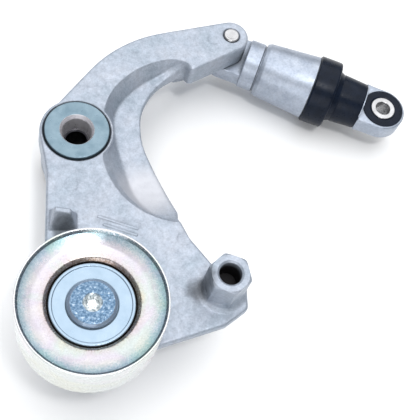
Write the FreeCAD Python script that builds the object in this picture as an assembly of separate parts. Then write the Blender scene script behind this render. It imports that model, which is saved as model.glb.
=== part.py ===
import FreeCAD, Part
import math
import os

# Hydraulic belt tensioner idler of a small petrol engine: a C-shaped die-cast arm that swings on
# a bolted steel sleeve, a smooth idler pulley on a ball bearing, and a sealed spring damper.
# Frame: origin on the pivot axis at the face that bolts to the engine, +Z towards the pulley,
# +X towards the damper, +Y from the pulley towards the pivot.  Millimetres.

V = FreeCAD.Vector
UP = V(0, 0, 1)

# ---------------------------------------------------------------- driving dimensions
# heights above the engine face
PLATE_Z = 41.0            # front face of the arm
FLANGE_Z = 26.0           # back face of the arm's limbs and of the fork's front ear
WEB_Z = 35.5              # back face of the thin web
BOSS_BACK_Z = 5.0         # back face of the pivot boss
FLOOR_DROP = 10.0         # how far the inner channel dips under the front face

# pivot
SLEEVE_R = 12.0
PIVOT_BORE_R = 5.6
COUNTERBORE_R = 7.6
COUNTERBORE_DEPTH = 12.0
FLANGE_DISC_R = 16.5
FLANGE_DISC_TOP_Z = 42.0
FLANGE_DISC_T = 3.5
BUSH_R = 13.5
BOSS_R = 19.5
RECESS_R = 17.6
RUN = 0.05                # radial running clearance of the plain bearings

# pulley and its 17 x 40 x 12 ball bearing
PULLEY_X, PULLEY_Y = 3.9, -105.2
PULLEY_R = 35.0
PULLEY_BACK_Z = 43.2
PULLEY_FRONT_Z = 73.0
SHEET = 2.0
BEARING_BORE_R = 8.5
BEARING_R = 20.0
BEARING_T = 12.0
BEARING_BACK_Z = 52.8
BALL_R = 3.37
BALL_PITCH_R = 14.25
BALL_COUNT = 8
BOLT_R = 5.0
BOLT_HEAD_R = 11.3
CAP_R = 19.5

# wrench boss
HEX_X, HEX_Y = 70.3, -89.9
HEX_FLATS = 19.0
HEX_TOP_Z = 63.0
HEX_TURN = -21.0
HEX_HOLE_R = 5.7
LUG_TOP_Z = 51.0

# fork and its pin
PIN_X, PIN_Y = 89.65, 65.0
PIN_R = 4.5
EAR_R = 9.8
REAR_EAR_BACK_Z = 10.2
REAR_EAR_FRONT_Z = 15.2

# damper: its stations are distances from the pin along its axis
DAMPER_Z = 20.5
DAMPER_ANGLE = -22.6
TONGUE_T = 9.8
TONGUE_R = 13.4
NECK_R = 14.5
NECK_END = 21.2
HOUSING_SMALL_R = 16.3
HOUSING_LARGE_R = 18.9
HOUSING_END = 54.4
RIM_R = 18.0
RIM_END = 66.0
RESERVOIR_R = 12.5
PRESSURE_R = 6.0
PRESSURE_OUT_R = 8.0
COLLAR_R = 20.1
COLLAR_END = 68.0
BOOT_NECK_START = 71.5
BOOT_NECK_END = 86.3
BOOT_NECK_R0 = 14.4
BOOT_NECK_R1 = 13.5
EYE_STATION = 99.1
EYE_R = 13.5
EYE_T = 11.2
EYE_BUSH_R = 10.2
EYE_SLEEVE_R = 7.3
EYE_BORE_R = 4.2
EYE_SLEEVE_LEN = 13.0


# ---------------------------------------------------------------- helpers
def disc(r, z0, z1, x=0.0, y=0.0):
    return Part.makeCylinder(r, z1 - z0, V(x, y, z0))


def ring(r_out, r_in, z0, z1, x=0.0, y=0.0):
    return disc(r_out, z0, z1, x, y).cut(disc(r_in, z0 - 1, z1 + 1, x, y))


def rounded_wire(corners, to_point):
    """Closed wire through corners (a, b, radius); to_point maps (a, b) into space."""
    edges = []
    count = len(corners)
    starts = []
    ends = []
    mids = []
    for i in range(count):
        ax, ay, _ = corners[i - 1]
        bx, by, radius = corners[i]
        cx, cy, _ = corners[(i + 1) % count]
        u = V(ax - bx, ay - by, 0).normalize()
        w = V(cx - bx, cy - by, 0).normalize()
        corner = V(bx, by, 0)
        if radius <= 0:
            starts.append(corner)
            ends.append(corner)
            mids.append(None)
            continue
        half = u.getAngle(w) / 2
        reach = radius / math.tan(half)
        centre = corner + (u + w).normalize() * (radius / math.sin(half))
        starts.append(corner + u * reach)
        ends.append(corner + w * reach)
        mids.append(centre + (corner - centre).normalize() * radius)
    for i in range(count):
        if mids[i] is not None:
            a, m, b = (to_point(p.x, p.y) for p in (starts[i], mids[i], ends[i]))
            edges.append(Part.Arc(a, m, b).toShape())
        p = ends[i]
        q = starts[(i + 1) % count]
        if (q - p).Length > 1e-6:
            edges.append(Part.LineSegment(to_point(p.x, p.y), to_point(q.x, q.y)).toShape())
    return Part.Wire(edges)


def corners3(points):
    return [(p[0], p[1], p[2] if len(p) > 2 else 0.0) for p in points]


def turned(points, x=0.0, y=0.0):
    """Solid of revolution about the vertical axis at (x, y); points are (radius, z, corner)."""
    wire = rounded_wire(corners3(points), lambda a, b: V(x + a, y, b))
    return Part.Face(wire).revolve(V(x, y, 0), UP, 360)


def turned_damper(points):
    """Solid of revolution about the damper's axis; points are (station, radius, corner)."""
    wire = rounded_wire(corners3(points), lambda a, b: V(a, 0, b))
    return Part.Face(wire).revolve(V(0, 0, 0), V(1, 0, 0), 360)


def plate(points, z0, z1):
    """Upright plate whose outline has corners (x, y, corner radius)."""
    wire = rounded_wire(corners3(points), lambda a, b: V(a, b, z0))
    return Part.Face(wire).extrude(V(0, 0, z1 - z0))


def outline(start, steps, z):
    """Closed wire from ('line', end) and ('arc', through, end) steps."""
    edges = []
    here = start
    for step in steps:
        a = V(here[0], here[1], z)
        b = V(step[-1][0], step[-1][1], z)
        if step[0] == "line":
            edges.append(Part.LineSegment(a, b).toShape())
        else:
            edges.append(Part.Arc(a, V(step[1][0], step[1][1], z), b).toShape())
        here = step[-1]
    return Part.Wire(edges)


def on_damper(shape):
    """Move a shape from the damper's own frame (axis along X, pin at 0) to its place."""
    placed = shape.copy()
    placed.rotate(V(0, 0, 0), UP, DAMPER_ANGLE)
    placed.translate(V(PIN_X, PIN_Y, DAMPER_Z))
    return placed


def fuse_all(shapes):
    result = shapes[0].fuse(shapes[1:])
    return result.removeSplitter()


def edges_near(shape, test):
    """Edges whose every sampled point passes the test."""
    found = []
    for edge in shape.Edges:
        points = edge.discretize(5)
        if all(test(p) for p in points):
            found.append(edge)
    return found


def save(name, shape):
    solids = shape.Solids
    whole = solids[0] if len(solids) == 1 else Part.makeCompound(solids)
    whole.exportStep("parts/" + name + ".step")
    print(name, len(solids), "solids", round(shape.Volume), "mm3", "valid" if whole.isValid() else "INVALID")


# ---------------------------------------------------------------- arm casting
# corners of the arm's outline with their radii, clockwise from the pulley end
ARM_OUTLINE = [
    (-18.5, -134.6, 20), (-16, -24, 10), (-21.2, 8.2, 19.5), (-9.4, 17.4, 12), (24.2, 59.1, 76),
    (95.8, 76.6, 9.8), (101.9, 60.0, 9.8), (64.5, 39.9, 2.5), (60.5, 44.9, 3), (35, 29, 38),
    (35, -2.4, 50), (51.4, -46.3, 4), (50.9, -50.5, 4), (56, -62, 14), (66.8, -76.9, 3),
    (83.6, -76.9, 13), (82.8, -100.6, 4), (70.5, -108.9, 8),
]
# channel inside the C: where its sloping wall starts at the front face, and the wall's foot
CHANNEL_EDGE = [
    (50, -53), (40, -50.5), (30, -45), (20.5, -35.5), (15.2, -25), (13, -14.5), (13.6, -4), (13.8, 6),
    (15, 14), (20, 26), (28, 35), (38, 42), (48, 46), (56, 47), (62, 45), (66, 41), (70, 35),
]
CHANNEL_FOOT = [
    (53, -50), (43.5, -46.5), (35.5, -38.5), (29.5, -29.5), (26, -20), (23.6, -11.6),
    (21.8, -4.5), (20.6, 5.8),
    (21, 15.5), (25.5, 24), (32, 31.5), (40.5, 38), (49, 42), (56.5, 43.5), (61.5, 42.4), (65, 39), (69, 33),
]


def channel_wire(share, z):
    """Closed outline of the channel; share runs from 0 at the edge to 1 at the foot."""
    points = []
    for (ax, ay), (bx, by) in zip(CHANNEL_EDGE, CHANNEL_FOOT):
        points.append(V(ax + share * (bx - ax), ay + share * (by - ay), z))
    curve = Part.BSplineCurve()
    curve.interpolate(points)
    corners = [points[-1], V(110, points[-1].y, z), V(110, points[0].y, z), points[0]]
    sides = [Part.LineSegment(corners[i], corners[i + 1]).toShape() for i in range(3)]
    return Part.Wire([curve.toShape()] + sides)


def floor_prism(run, length, flat, start, end, turn):
    """Space above a floor that is flat at depth and climbs in an arc from start to end."""
    high = PLATE_Z + 2
    radius = ((end - start) ** 2 + FLOOR_DROP ** 2) / (2 * FLOOR_DROP)
    half = (end - start) / 2
    side = 1 if end > start else -1
    mid_z = flat + radius - math.sqrt(radius ** 2 - half ** 2)
    arc = Part.Arc(V(start, 0, flat), V(start + side * abs(half), 0, mid_z), V(end, 0, flat + FLOOR_DROP))
    path = [
        V(end, 0, flat + FLOOR_DROP), V(end, 0, high), V(run, 0, high), V(run, 0, flat),
        V(start, 0, flat),
    ]
    sides = [Part.LineSegment(path[i], path[i + 1]).toShape() for i in range(4)]
    prism = Part.Face(Part.Wire([arc.toShape()] + sides)).extrude(V(0, 2 * length, 0))
    prism.translate(V(0, -length, 0))
    prism.rotate(V(0, 0, 0), UP, turn)
    return prism


def channel_cutter():
    """Inner channel of the C: a sloping wall and a floor that climbs out at both ends."""
    floor = PLATE_Z - FLOOR_DROP
    wedge = Part.makeLoft([channel_wire(1.1, floor - 1), channel_wire(-0.1, PLATE_Z + 1)], True, True)
    lower = floor_prism(-90.0, 130.0, floor, 12.0, 54.5, -90)
    upper = floor_prism(-90.0, 130.0, floor, 50.0, 75.5, 21.7)
    return wedge.common(lower).common(upper)


def hexagon(flats, z0, z1):
    radius = flats / math.sqrt(3)
    points = []
    for k in range(6):
        angle = math.radians(HEX_TURN + 60 * k)
        points.append((HEX_X + radius * math.cos(angle), HEX_Y + radius * math.sin(angle), 0.4))
    return plate(points, z0, z1)


def wrench_boss():
    """Hexagon with a bolt-head chamfer, a flared foot and a cored hole."""
    corner_r = HEX_FLATS / math.sqrt(3)
    head = hexagon(HEX_FLATS, PLATE_Z - 3, HEX_TOP_Z)
    flat_r = HEX_FLATS / 2 - 0.3
    drop = (corner_r + 0.5 - flat_r) * math.tan(math.radians(30))
    bell = turned([(0, PLATE_Z - 4), (corner_r + 0.5, PLATE_Z - 4), (corner_r + 0.5, HEX_TOP_Z - drop),
                   (flat_r, HEX_TOP_Z), (0, HEX_TOP_Z)], HEX_X, HEX_Y)
    foot = turned([(0, WEB_Z - 2.5), (12.6, WEB_Z - 2.5, 0.8), (12.6, PLATE_Z + 0.3, 0.5),
                   (10.9, PLATE_Z + 0.9, 1.2), (10.0, PLATE_Z + 3.4), (0, PLATE_Z + 3.4)], HEX_X, HEX_Y)
    return head.common(bell).fuse(foot)


def stop_lug():
    """Tapered lug on the front face, between the pivot and the pulley."""
    foot = [(-15.0, -58.5), (-0.6, -58.5), (-0.6, -47.8), (-4.4, -46.6), (-14.6, -46.2)]
    crest = [(-12.6, -51.6), (-4.7, -52.8), (-4.0, -51.4), (-4.4, -50.2), (-11.7, -48.9)]
    rings = []
    for corners, z in ((foot, PLATE_Z - 1.2), (crest, LUG_TOP_Z)):
        rings.append(Part.makePolygon([V(x, y, z) for x, y in corners + corners[:1]]))
    lug = Part.makeLoft(rings, True, True)
    return lug.makeFillet(0.6, edges_near(lug, lambda p: p.z > PLATE_Z + 1))


def back_pockets():
    """Lightening pockets in the back of both limbs, parted by ribs."""
    upper = plate([(5, 27, 3), (11, 36.5, 8), (23, 48.5, 10), (39.5, 57.8, 10), (66, 64.3, 3),
                   (69, 52.5, 3), (56, 51.2, 8), (42, 48.2, 12), (28, 39.8, 8), (17.5, 27, 5),
                   (14.5, 19.5, 3)], FLANGE_Z - 1, WEB_Z)
    lower = plate([(4, -24, 3), (9.5, -24, 3), (14, -36, 8), (25, -48, 8), (40, -55, 5), (46, -60, 4),
                   (55.5, -77, 3), (4, -77, 3)], FLANGE_Z - 1, WEB_Z)
    ribs = []
    for x, y, turn in ((20, 38, 128), (45, 52, 105), (24, -62, 32), (30, -50, -60)):
        rib = Part.makeBox(60, 3.6, 20, V(-30, -1.8, FLANGE_Z - 2))
        rib.rotate(V(0, 0, 0), UP, turn)
        rib.translate(V(x, y, 0))
        ribs.append(rib)
    return upper.fuse(lower).cut(ribs)


def arm_casting():
    body = plate(ARM_OUTLINE, FLANGE_Z, PLATE_Z)
    rim = edges_near(body, lambda p: abs(p.z - PLATE_Z) < 1e-3)
    body = body.makeFillet(1.4, rim)
    # below the limbs only the thin web is left round the pulley post and the wrench boss
    relief = Part.makeBox(140, 70, WEB_Z - FLANGE_Z + 1, V(-30, -147, FLANGE_Z - 1))
    channel = channel_cutter()
    body = body.cut([relief, channel, back_pockets()])

    boss = turned([(0, BOSS_BACK_Z), (BOSS_R - 1.0, BOSS_BACK_Z, 0.8), (BOSS_R - 0.6, PLATE_Z - 3),
                   (0, PLATE_Z - 3)])
    collar = turned([(0, PLATE_Z - 12), (BOSS_R + 0.4, PLATE_Z - 12), (BOSS_R, PLATE_Z, 0.8),
                     (0, PLATE_Z)])
    post = turned([(0, FLANGE_Z - 4), (11.5, FLANGE_Z - 4, 1.0), (13.5, PLATE_Z - 2), (13.0, PLATE_Z, 0.0),
                   (12.2, PLATE_Z + 1.5, 1.0), (11.6, BEARING_BACK_Z - 2.0), (0, BEARING_BACK_Z - 2.0)],
                  PULLEY_X, PULLEY_Y)
    pieces = [body, boss, collar, post, wrench_boss(), stop_lug()]

    # fork: the rear ear hangs on a wall behind the tongue
    wall = plate([(56, 50.5, 3), (76, 56.2, 0), (82, 60, 0), (80, 72.2, 0), (56, 66, 3)],
                 REAR_EAR_BACK_Z, FLANGE_Z + 2)
    wall = wall.cut(disc(TONGUE_R + 0.8, REAR_EAR_FRONT_Z - 0.001, FLANGE_Z - 0.001, PIN_X, PIN_Y))
    ear = plate([(60, 53.5, 1), (75, 57.4, 3), (84.0, 58.2, 0), (89, 60, 0), (89, 74, 0), (86.9, 74.3, 0),
                 (60, 67.4, 1)], REAR_EAR_BACK_Z, REAR_EAR_FRONT_Z)
    ear = ear.fuse(disc(EAR_R - 0.2, REAR_EAR_BACK_Z, REAR_EAR_FRONT_Z, PIN_X, PIN_Y))
    pieces += [wall, ear]

    # spines down the back of both limbs, deep at the boss and at the fork
    for a, b, deep_a, deep_b, width in (
            ((14.0, 22.0), (58.0, 58.0), 8.0, 12.0, 4.0),
            ((2.0, -16.0), (PULLEY_X, PULLEY_Y + 8), 8.0, 26.0, 4.0),
            ((12.0, -12.0), (PULLEY_X + 60, PULLEY_Y + 20), 10.0, 28.0, 4.0)):
        pieces.append(spine(a, b, deep_a, deep_b, width).cut(channel))
    for end in ((HEX_X - 8, HEX_Y - 3), (HEX_X - 20, HEX_Y - 22), (PULLEY_X - 14, PULLEY_Y - 10)):
        pieces.append(spine((PULLEY_X, PULLEY_Y), end, FLANGE_Z + 1, WEB_Z - 3, 3.6))
    body = fuse_all(pieces)

    cuts = [disc(BUSH_R, BOSS_BACK_Z - 1, PLATE_Z + 1)]
    cuts.append(turned([(0, PLATE_Z - 3.8), (RECESS_R, PLATE_Z - 3.8), (RECESS_R, PLATE_Z - 0.8),
                        (RECESS_R + 0.9, PLATE_Z + 0.1), (0, PLATE_Z + 0.1)]))
    cuts.append(disc(BOLT_R, FLANGE_Z - 6, BEARING_BACK_Z, PULLEY_X, PULLEY_Y))
    cuts.append(turned([(0, WEB_Z + 1.5), (HEX_HOLE_R - 0.6, WEB_Z + 3.0), (HEX_HOLE_R, HEX_TOP_Z - 0.8),
                        (HEX_HOLE_R + 0.9, HEX_TOP_Z + 0.1), (0, HEX_TOP_Z + 0.1)], HEX_X, HEX_Y))
    cuts.append(disc(PIN_R, 0, PLATE_Z + 1, PIN_X, PIN_Y))
    cuts.append(turned([(0, PLATE_Z - 0.9), (PIN_R, PLATE_Z - 0.9), (PIN_R + 0.9, PLATE_Z + 0.01),
                        (0, PLATE_Z + 0.01)], PIN_X, PIN_Y))
    # marks of the ejector pins
    for x, y in ((8.0, 30.5), (79.0, 62.0), (-3.5, -32.0), (53.0, -62.5)):
        cuts.append(disc(3.7, PLATE_Z - 0.25, PLATE_Z + 1, x, y))
    body = body.cut(cuts)

    # two low parallel ribs across the front, above the pulley
    for a, b in (((10.0, -50.2), (29.0, -57.0)), ((12.5, -54.6), (28.5, -60.4))):
        dx, dy = b[0] - a[0], b[1] - a[1]
        length = math.hypot(dx, dy)
        rib = Part.makeBox(length, 1.1, 1.0, V(0, -0.55, PLATE_Z - 0.4))
        rib.rotate(V(0, 0, 0), UP, math.degrees(math.atan2(dy, dx)))
        rib.translate(V(a[0], a[1], 0))
        body = body.fuse(rib)
    return body.removeSplitter()


def spine(a, b, z_a, z_b, width):
    """Upright rib from a to b whose back edge runs from z_a to z_b."""
    length = math.hypot(b[0] - a[0], b[1] - a[1])
    top = WEB_Z + 0.5
    points = [V(0, 0, z_a), V(length, 0, z_b), V(length, 0, top), V(0, 0, top), V(0, 0, z_a)]
    rib = Part.Face(Part.makePolygon(points)).extrude(V(0, width, 0))
    rib.translate(V(0, -width / 2, 0))
    rib.rotate(V(0, 0, 0), UP, math.degrees(math.atan2(b[1] - a[1], b[0] - a[0])))
    rib.translate(V(a[0], a[1], 0))
    return rib


# ---------------------------------------------------------------- pivot
def pivot_sleeve():
    step_z = FLANGE_DISC_TOP_Z - COUNTERBORE_DEPTH
    under = FLANGE_DISC_TOP_Z - FLANGE_DISC_T
    return turned([(PIVOT_BORE_R, 0), (SLEEVE_R - 0.5, 0), (SLEEVE_R, 0.5), (SLEEVE_R, under),
                   (FLANGE_DISC_R, under), (FLANGE_DISC_R, FLANGE_DISC_TOP_Z, 0.5),
                   (COUNTERBORE_R + 1.5, FLANGE_DISC_TOP_Z), (COUNTERBORE_R, FLANGE_DISC_TOP_Z - 1.8),
                   (COUNTERBORE_R, step_z), (PIVOT_BORE_R, step_z)])


def rear_thrust_ring():
    return turned([(SLEEVE_R, 0.4), (FLANGE_DISC_R, 0.4, 0.4), (FLANGE_DISC_R, BOSS_BACK_Z - 1.3, 0.4),
                   (SLEEVE_R, BOSS_BACK_Z - 1.3)])


def front_pivot_bush():
    shoulder = PLATE_Z - 3.8
    return turned([(SLEEVE_R + RUN, shoulder - 12), (BUSH_R, shoulder - 12), (BUSH_R, shoulder),
                   (RECESS_R - 1.7, shoulder), (RECESS_R - 1.7, shoulder + 1.2),
                   (SLEEVE_R + RUN, shoulder + 1.2)])


def rear_pivot_bush():
    return turned([(SLEEVE_R + RUN, BOSS_BACK_Z + 12), (BUSH_R, BOSS_BACK_Z + 12), (BUSH_R, BOSS_BACK_Z),
                   (RECESS_R - 1.7, BOSS_BACK_Z), (RECESS_R - 1.7, BOSS_BACK_Z - 1.2),
                   (SLEEVE_R + RUN, BOSS_BACK_Z - 1.2)])


def front_dust_seal():
    shoulder = PLATE_Z - 3.8
    return turned([(RECESS_R - 0.9, shoulder), (RECESS_R, shoulder), (RECESS_R, shoulder + 2.4),
                   (RECESS_R - 0.9, shoulder + 2.0)])


def rear_dust_seal():
    return turned([(RECESS_R - 0.8, BOSS_BACK_Z), (RECESS_R + 0.6, BOSS_BACK_Z),
                   (RECESS_R, BOSS_BACK_Z - 3.0), (RECESS_R - 0.8, BOSS_BACK_Z - 3.0)])


# ---------------------------------------------------------------- pulley
def at_pulley(points):
    return turned(points, PULLEY_X, PULLEY_Y)


def pulley_shell():
    """Pressed steel: belt wall, rolled front rim, dished web and the seat round the bearing."""
    back = PULLEY_BACK_Z
    front = PULLEY_FRONT_Z
    seat = BEARING_R
    wall = PULLEY_R - SHEET
    dish_z = front - 5.2
    bearing_front = BEARING_BACK_Z + BEARING_T
    return at_pulley([
        (PULLEY_R, back, 0.6), (PULLEY_R, front, 1.5), (wall - 0.2, front, 0.4),
        (wall - 0.4, front - 0.9, 0.4),
        (wall - 1.4, front - 1.2, 1.2), (27.5, front - 3.9, 6.0), (23.2, dish_z, 1.2),
        (seat + 0.8, bearing_front + 0.9, 0.6), (seat, bearing_front - 0.4, 0.0), (seat, BEARING_BACK_Z),
        (seat - 0.9, BEARING_BACK_Z, 0.2), (seat - 0.9, BEARING_BACK_Z - 1.6, 0.3),
        (seat + 0.6, BEARING_BACK_Z - 1.6, 0.8), (seat + SHEET, BEARING_BACK_Z, 0.8),
        (seat + SHEET, dish_z - 3.4, 1.5), (27.0, front - 6.2, 4.0), (wall, front - 3.4, 1.5),
        (wall, back, 0.4)])


def bearing_outer_race():
    mid = BEARING_BACK_Z + BEARING_T / 2
    race = at_pulley([(16.9, BEARING_BACK_Z), (BEARING_R, BEARING_BACK_Z, 0.6),
                      (BEARING_R, BEARING_BACK_Z + BEARING_T, 0.6), (16.9, BEARING_BACK_Z + BEARING_T)])
    return race.cut(Part.makeTorus(BALL_PITCH_R, BALL_R + RUN, V(PULLEY_X, PULLEY_Y, mid)))


def bearing_inner_race():
    mid = BEARING_BACK_Z + BEARING_T / 2
    race = at_pulley([(BEARING_BORE_R, BEARING_BACK_Z, 0.5), (12.0, BEARING_BACK_Z),
                      (12.0, BEARING_BACK_Z + BEARING_T), (BEARING_BORE_R, BEARING_BACK_Z + BEARING_T, 0.5)])
    return race.cut(Part.makeTorus(BALL_PITCH_R, BALL_R + RUN, V(PULLEY_X, PULLEY_Y, mid)))


def ball_centres():
    mid = BEARING_BACK_Z + BEARING_T / 2
    for k in range(BALL_COUNT):
        angle = 2 * math.pi * k / BALL_COUNT
        yield V(PULLEY_X + BALL_PITCH_R * math.cos(angle), PULLEY_Y + BALL_PITCH_R * math.sin(angle), mid)


def bearing_balls():
    return Part.makeCompound([Part.makeSphere(BALL_R, c) for c in ball_centres()])


def bearing_cage():
    mid = BEARING_BACK_Z + BEARING_T / 2
    body = ring(15.3, 13.2, mid - 4.2, mid + 1.4, PULLEY_X, PULLEY_Y)
    return body.cut([Part.makeSphere(BALL_R + 0.08, c) for c in ball_centres()])


def bearing_seal(z0):
    return ring(16.9, 12.25, z0, z0 + 0.8, PULLEY_X, PULLEY_Y)


def bearing_spacer():
    return ring(11.6, BOLT_R + 0.2, BEARING_BACK_Z - 2.0, BEARING_BACK_Z, PULLEY_X, PULLEY_Y)


def dust_cap():
    """Shallow steel cap clamped on the bearing's inner race, centred by a spigot in its bore."""
    z = BEARING_BACK_Z + BEARING_T
    return at_pulley([(BOLT_R + 0.1, z - 7.0), (BEARING_BORE_R, z - 7.0), (BEARING_BORE_R, z),
                      (11.8, z), (11.8, z + 0.7), (CAP_R - 1.2, z + 0.7), (CAP_R - 1.2, z + 0.4),
                      (CAP_R, z + 0.4), (CAP_R, z + 2.3, 0.7), (CAP_R - 0.9, z + 2.4, 0.2),
                      (CAP_R - 1.3, z + 2.0, 0.2), (BOLT_HEAD_R + 1.0, z + 2.0, 0.3),
                      (BOLT_HEAD_R + 0.3, z + 1.6, 0.2), (BOLT_R + 0.1, z + 1.6)])


def socket_wire(r_mid, lobe, z):
    """Closed six-lobed drive outline."""
    points = []
    for k in range(72):
        angle = 2 * math.pi * k / 72
        r = r_mid + lobe * math.cos(6 * angle)
        points.append(V(PULLEY_X + r * math.cos(angle), PULLEY_Y + r * math.sin(angle), z))
    curve = Part.BSplineCurve()
    curve.interpolate(points, True)
    return Part.Wire(curve.toShape())


def pulley_bolt():
    """Low round head with a six-lobed socket; the shank screws into the arm's post."""
    seat = BEARING_BACK_Z + BEARING_T + 1.6
    top = seat + 2.9
    bolt = at_pulley([(0, FLANGE_Z - 2), (BOLT_R - 1.0, FLANGE_Z - 2), (BOLT_R, FLANGE_Z - 1),
                      (BOLT_R, seat), (BOLT_HEAD_R, seat, 0.3), (BOLT_HEAD_R, seat + 1.0, 0.4),
                      (BOLT_HEAD_R - 1.3, top - 0.5, 0.5), (BOLT_HEAD_R - 2.4, top, 1.0), (0, top)])
    socket = Part.Face(socket_wire(3.95, 0.42, top - 3.4)).extrude(V(0, 0, 5))
    lead = at_pulley([(0, top - 1.0), (3.6, top - 1.0), (4.8, top + 0.1), (0, top + 0.1)])
    tip = at_pulley([(0, top - 4.4), (3.3, top - 3.3), (0, top - 3.3)])
    return bolt.cut([socket, lead, tip])


# ---------------------------------------------------------------- damper
def damper_pin():
    back = REAR_EAR_BACK_Z
    return turned([(0, back - 2.0), (PIN_R + 0.6, back - 2.0, 0.8), (PIN_R + 1.9, back - 0.8, 0.5),
                   (PIN_R + 1.9, back), (PIN_R, back), (PIN_R, PLATE_Z - 0.3, 0.0),
                   (PIN_R - 0.5, PLATE_Z + 0.3, 0.2), (0, PLATE_Z + 0.5)], PIN_X, PIN_Y)


def tongue_bush():
    half = TONGUE_T / 2
    return on_damper(ring(PIN_R + 1.6, PIN_R + RUN, -half, half))


def damper_housing():
    half = TONGUE_T / 2
    tongue = Part.makeBox(16, 2 * TONGUE_R, TONGUE_T, V(0, -TONGUE_R, -half))
    tongue = tongue.fuse(disc(TONGUE_R, -half, half))
    barrel = turned_damper([
        (12.2, 0), (12.2, NECK_R - 0.4), (12.6, NECK_R), (NECK_END, NECK_R), (NECK_END + 0.3, NECK_R - 0.5),
        (NECK_END + 0.8, NECK_R - 0.5), (NECK_END + 0.9, HOUSING_SMALL_R - 1.2, 0.5),
        (NECK_END + 3.2, HOUSING_SMALL_R, 1.5), (HOUSING_END, HOUSING_LARGE_R, 0.3), (HOUSING_END, RIM_R),
        (58.8, RIM_R), (59.2, RIM_R - 0.8), (61.8, RIM_R - 0.8), (62.2, RIM_R),
        (RIM_END, RIM_R, 0.5), (RIM_END, 15.8, 0.3), (58.0, 15.8), (56.0, RESERVOIR_R),
        (26.5, RESERVOIR_R, 1.0),
        (26.5, PRESSURE_OUT_R), (23.8, PRESSURE_OUT_R), (23.8, 0)])
    return on_damper(tongue.fuse(barrel).cut(disc(PIN_R + 1.6, -9, 9)).removeSplitter())


def pressure_sleeve():
    body = turned_damper([(23.8, PRESSURE_R), (23.8, PRESSURE_OUT_R), (54.0, PRESSURE_OUT_R, 0.4),
                          (54.0, PRESSURE_R)])
    feed = Part.makeCylinder(0.8, 40, V(24.9, 0, -20))
    return on_damper(body.cut(feed))


def valve_seat():
    """Plug in the foot of the pressure sleeve, with the feed passage up its middle."""
    body = turned_damper([(23.8, 0), (23.8, PRESSURE_R), (27.6, PRESSURE_R), (27.6, 0)])
    passage = turned_damper([(24.9, 0), (24.9, 1.1), (26.9, 1.1), (27.7, 1.75), (27.7, 0)])
    feed = Part.makeCylinder(0.8, 40, V(24.9, 0, -20))
    return on_damper(body.cut([passage, feed]))


VALVE_BALL_R = 1.9
VALVE_BALL_S = 28.65


def valve_ball():
    return on_damper(Part.makeSphere(VALVE_BALL_R, V(VALVE_BALL_S, 0, 0)))


def coil_along_damper(start, length, mean_r, wire_r, pitch):
    path = Part.makeHelix(pitch, length, mean_r)
    profile = Part.Wire(Part.makeCircle(wire_r, V(mean_r, 0, 0), V(0, 1, pitch / (2 * math.pi * mean_r))))
    coil = Part.Wire(path).makePipeShell([profile], True, True)
    coil.rotate(V(0, 0, 0), V(0, 1, 0), 90)
    coil.translate(V(start, 0, 0))
    return coil


def valve_spring():
    """Thin dished spring washer that presses the ball on its seat."""
    return on_damper(turned_damper([(30.65, 1.0), (32.5, 2.2), (32.8, 2.2), (30.95, 1.0)]))


def valve_retainer():
    """Cup that holds the ball and its spring over the seat."""
    body = turned_damper([(27.6, 2.3), (27.6, 5.6), (28.2, 5.6), (28.2, 2.9), (33.4, 2.9), (33.4, 0.5),
                          (32.8, 0.5), (32.8, 2.3)])
    window = Part.makeBox(2.2, 1.6, 20, V(29.0, -0.8, -10))
    side = Part.makeBox(2.2, 20, 1.6, V(29.0, -10, -0.8))
    return on_damper(body.cut([window, side]))


def rod_guide():
    return on_damper(turned_damper([(50.4, 4.6 + RUN), (50.4, PRESSURE_R), (54.0, PRESSURE_R),
                                    (54.0, PRESSURE_OUT_R), (54.9, PRESSURE_OUT_R), (54.9, 4.6 + RUN)]))


def piston_rod():
    head_end = 50.3
    return on_damper(turned_damper([(46.0, 0), (46.0, PRESSURE_R - 0.04 - 0.5), (46.5, PRESSURE_R - 0.04),
                                    (head_end, PRESSURE_R - 0.04), (head_end, 4.6), (83.0, 4.6),
                                    (84.0, 3.8), (84.0, 0)]))


def spring_seat():
    return on_damper(turned_damper([(71.6, 4.6), (71.6, 12.4), (73.0, 12.4), (73.0, 4.6)]))


def return_spring():
    return on_damper(coil_along_damper(27.9, 42.4, 10.3, 1.25, 5.3))


def boot_collar():
    """Thick rubber collar snapped over the housing's rim."""
    return on_damper(turned_damper([
        (HOUSING_END + 0.3, RIM_R), (HOUSING_END + 0.3, COLLAR_R, 0.7), (COLLAR_END, COLLAR_R, 1.4),
        (COLLAR_END, 16.2, 0.6), (RIM_END, 16.2), (RIM_END, RIM_R), (62.2, RIM_R), (61.8, RIM_R - 0.8),
        (59.2, RIM_R - 0.8), (58.8, RIM_R)]))


def boot_fold():
    """Thin rolling web between collar and neck; it turns inside out as the rod goes in."""
    return on_damper(turned_damper([(COLLAR_END - 1.2, 16.2), (COLLAR_END - 0.2, 16.2),
                                    (BOOT_NECK_START, BOOT_NECK_R0), (BOOT_NECK_START, BOOT_NECK_R0 - 1.0)]))


def boot_neck():
    inner = BOOT_NECK_R1 - 1.1
    return on_damper(turned_damper([(BOOT_NECK_START, inner), (BOOT_NECK_START, BOOT_NECK_R0, 0.5),
                                    (BOOT_NECK_END, BOOT_NECK_R1, 0.5), (BOOT_NECK_END, inner)]))


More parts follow.
